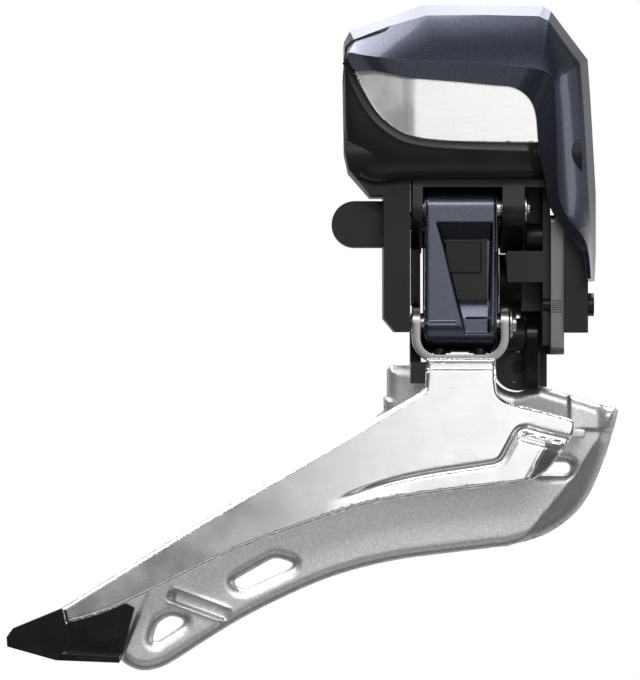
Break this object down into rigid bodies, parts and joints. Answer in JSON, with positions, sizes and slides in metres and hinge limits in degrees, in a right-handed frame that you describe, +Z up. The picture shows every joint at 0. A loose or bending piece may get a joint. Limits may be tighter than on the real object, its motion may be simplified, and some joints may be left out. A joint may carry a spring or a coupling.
{
  "type": "front derailleur",
  "caption": "Motor-driven front derailleur: a motor unit on a parallelogram linkage that carries a two-plate chain cage, with a threaded clamp hole behind a curved mounting plate.",
  "frame": {"origin": "mouth of the clamp hole, at the crest of the mounting plate's curved face", "axes": "+X forward on the bicycle and out of the clamp hole, +Y inboard towards the seat tube, +Z up"},
  "size_m": [0.0983, 0.032, 0.107],
  "materials": {
    "black_alloy": "satin black coating on cast alloy",
    "bare_steel": "bare steel, fine brushed",
    "dark_screw": "black oxide steel",
    "black_resin": "moulded black resin, fine texture",
    "gasket_rubber": "soft black seal",
    "painted_hood": "dark blue metallic gloss paint",
    "panel_metal": "satin silver panel",
    "board_green": "green solder mask",
    "chip_black": "moulded chip body",
    "contact_brass": "bare brass",
    "painted_link": "dark blue metallic gloss paint",
    "polished_alloy": "polished and clear coated",
    "satin_steel": "satin grey with a fine sparkle",
    "black_metal": "gloss black coating",
    "copper_winding": "enamelled winding on a steel core"
  },
  "bodies": {
    "base": {"base_bracket": "black_alloy", "mounting_plate": "bare_steel", "plate_screws": "dark_screw", "motor_housing": "black_resin", "housing_gasket": "gasket_rubber", "back_cover": "black_resin", "back_cover_screws": "dark_screw", "hood_cover": "painted_hood", "hood_screws": "dark_screw", "face_plate": "panel_metal", "deck_screws": "dark_screw", "leg_screw": "dark_screw", "motor_can": "bare_steel", "motor_end_cap": "black_resin", "circuit_board": "board_green", "board_chips": "chip_black", "port_contacts": "contact_brass", "gear_axles": "bare_steel", "output_bushes": "contact_brass", "output_seal": "gasket_rubber", "outer_upper_pin": "bare_steel", "upper_pin_clip": "bare_steel"},
    "outer_link": {"outer_link": "painted_link", "outer_link_bushes": "contact_brass"},
    "cage": {"outer_plate": "polished_alloy", "inner_plate": "satin_steel", "hinge_bracket": "satin_steel", "bracket_rivets": "bare_steel", "lower_outer_pin": "bare_steel", "lower_pin_clip": "bare_steel", "lower_inner_pin": "bare_steel", "tail_bridge": "black_metal", "tail_rivet": "black_metal", "front_rivet": "bare_steel"},
    "inner_link": {"inner_link": "black_alloy", "inner_link_bushes": "contact_brass", "output_shaft": "bare_steel", "output_gear": "bare_steel"},
    "intermediate_gear": {"intermediate_gear": "contact_brass"},
    "reduction_gear": {"reduction_gear": "contact_brass"},
    "motor_rotor": {"motor_shaft": "bare_steel", "rotor_core": "copper_winding", "worm": "bare_steel"},
    "support_bolt": {"support_bolt": "dark_screw"},
    "low_adjust_screw": {"low_adjust_screw": "dark_screw"}
  },
  "joints": [
    {"name": "outer_link_pivot", "type": "hinge", "parent": "base", "child": "outer_link", "pos_m": [-0.0165, -0.0165, 0.0122], "axis": [-1, 0, 0], "range_deg": [0, 36]},
    {"name": "cage_pivot", "type": "hinge", "parent": "outer_link", "child": "cage", "pos_m": [-0.0165, -0.01522, -0.00616], "axis": [-1, 0, 0], "range_deg": [-36, 0]},
    {"name": "inner_link_pivot", "type": "hinge", "parent": "base", "child": "inner_link", "pos_m": [-0.0163, -0.0063, 0.0102], "axis": [-1, 0, 0], "range_deg": [0, 36]},
    {"name": "intermediate_spin", "type": "hinge", "parent": "base", "child": "intermediate_gear", "pos_m": [-0.0267, -0.00917, 0.01809], "axis": [-1, 0, 0], "range_deg": [-115.2, 0]},
    {"name": "reduction_spin", "type": "hinge", "parent": "base", "child": "reduction_gear", "pos_m": [-0.0267, -0.01317, 0.02502], "axis": [-1, 0, 0], "range_deg": [0, 345.6]},
    {"name": "motor_spin", "type": "hinge", "parent": "base", "child": "motor_rotor", "pos_m": [-0.02743, -0.01317, 0.03182], "axis": [0, -1, 0], "range_deg": [0, 8294.4]},
    {"name": "support_bolt_travel", "type": "slide", "parent": "base", "child": "support_bolt", "axis": [0, 1, 0], "range_m": [0, 0.003]},
    {"name": "low_adjust_travel", "type": "slide", "parent": "inner_link", "child": "low_adjust_screw", "axis": [0, -1, 0], "range_m": [0, 0.0015]}
  ],
  "couplings": [
    {"joint": "cage_pivot", "follows": "outer_link_pivot", "ratio": -1},
    {"joint": "inner_link_pivot", "follows": "outer_link_pivot", "ratio": 1},
    {"joint": "intermediate_spin", "follows": "outer_link_pivot", "ratio": -3.2},
    {"joint": "reduction_spin", "follows": "outer_link_pivot", "ratio": 9.6},
    {"joint": "motor_spin", "follows": "outer_link_pivot", "ratio": 230.4}
  ]
}
